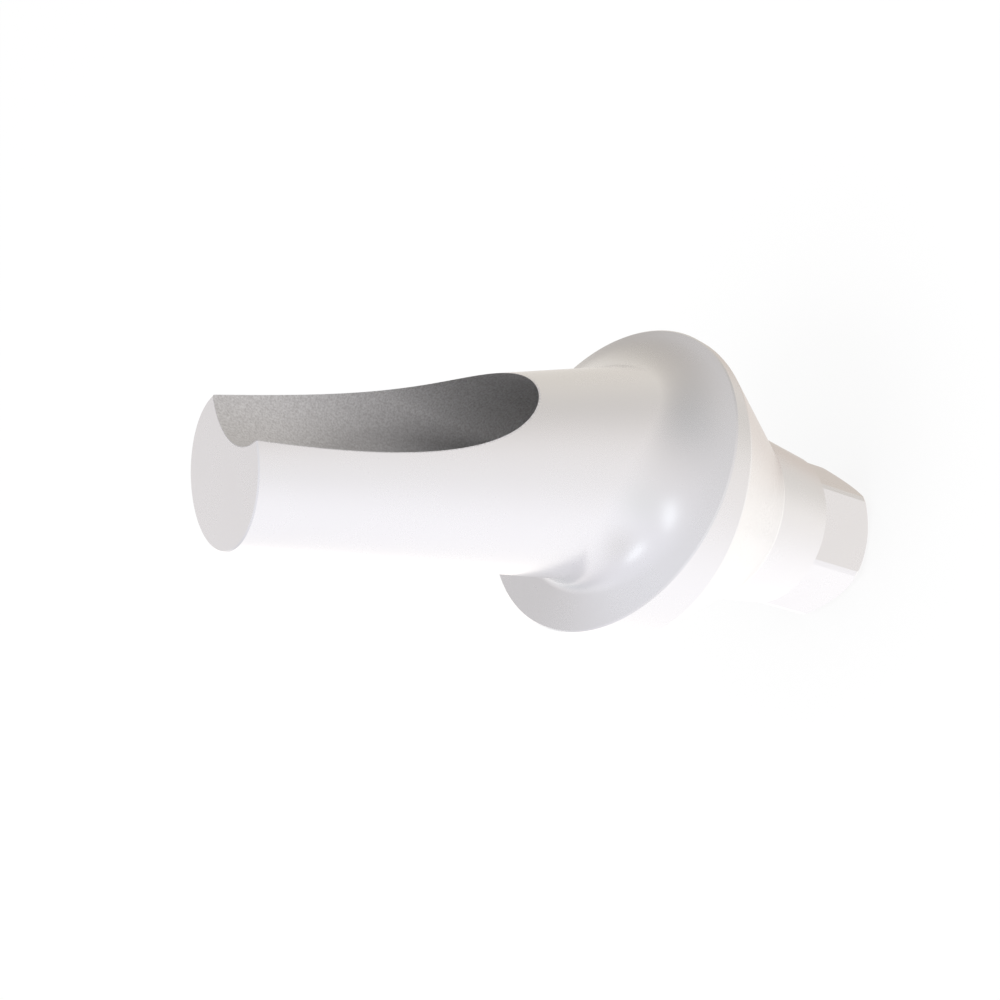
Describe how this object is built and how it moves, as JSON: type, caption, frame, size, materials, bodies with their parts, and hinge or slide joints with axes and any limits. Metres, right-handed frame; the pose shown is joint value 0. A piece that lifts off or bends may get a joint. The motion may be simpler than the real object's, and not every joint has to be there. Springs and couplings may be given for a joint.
{
  "type": "dental abutment",
  "caption": "Angled dental implant abutment: a hexagon and tapered seat key into the implant, and a leaning tapered post with an open screw channel carries the crown.",
  "frame": {"origin": "centre of the platform, the edge where the tapered seat meets the neck, on the implant's axis", "axes": "+Z along the implant's axis towards the post; the post leans towards +X, square to a flat of the hexagon; y = 0 is the plane of symmetry"},
  "size_m": [0.0056, 0.0054, 0.0125],
  "materials": {
    "satin_titanium": "fine satin, machined and lightly blasted titanium alloy"
  },
  "bodies": {
    "root": {"abutment_body": "satin_titanium"}
  },
  "joints": []
}
